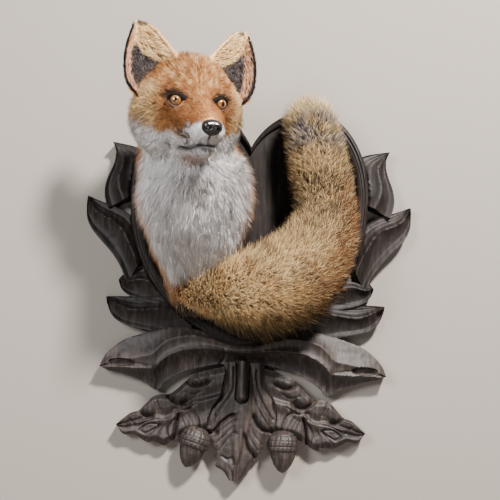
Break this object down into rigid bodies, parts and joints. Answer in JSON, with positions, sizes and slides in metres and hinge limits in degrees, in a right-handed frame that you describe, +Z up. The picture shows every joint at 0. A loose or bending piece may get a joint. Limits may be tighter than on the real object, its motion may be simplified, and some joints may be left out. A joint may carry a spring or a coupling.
{
  "type": "taxidermy red fox half mount on a carved wall plaque",
  "caption": "Still taxidermy red fox: head, neck, chest and curled brush mounted on a dark carved wooden wall plaque with leaves, a bow and acorns.",
  "frame": {"origin": "on the wall plane behind the middle of the plaque's heart-shaped panel", "axes": "+Z up, -Y out of the wall towards the viewer, +Y into the wall, +X to the fox's left"},
  "size_m": [0.4012, 0.2366, 0.5114],
  "materials": {
    "face_coat": "short orange fox fur",
    "bib_coat": "long white and grey fox fur, orange at the sides",
    "brush_coat": "long grizzled fox fur with a pale tip",
    "nose": "glossy black modelled nose",
    "glass_eye": "amber glass eye",
    "dark_wood": "dark stained carved wood with a soft sheen"
  },
  "bodies": {
    "root": {"head": "face_coat", "muzzle": "face_coat", "lower_jaw": "face_coat", "ear_left": "face_coat", "ear_right": "face_coat", "nose": "nose", "eye_left": "glass_eye", "eye_right": "glass_eye", "neck": "bib_coat", "chest": "bib_coat", "tail_root": "brush_coat", "tail_middle": "brush_coat", "tail_upper": "brush_coat", "tail_tip": "brush_coat", "panel_field": "dark_wood", "panel_rim": "dark_wood", "leaf_border_left": "dark_wood", "leaf_border_right": "dark_wood", "bow_bracket": "dark_wood", "stem": "dark_wood", "oak_leaf_middle": "dark_wood", "oak_leaf_left": "dark_wood", "oak_leaf_right": "dark_wood", "acorn_left": "dark_wood", "acorn_right": "dark_wood"}
  },
  "joints": []
}
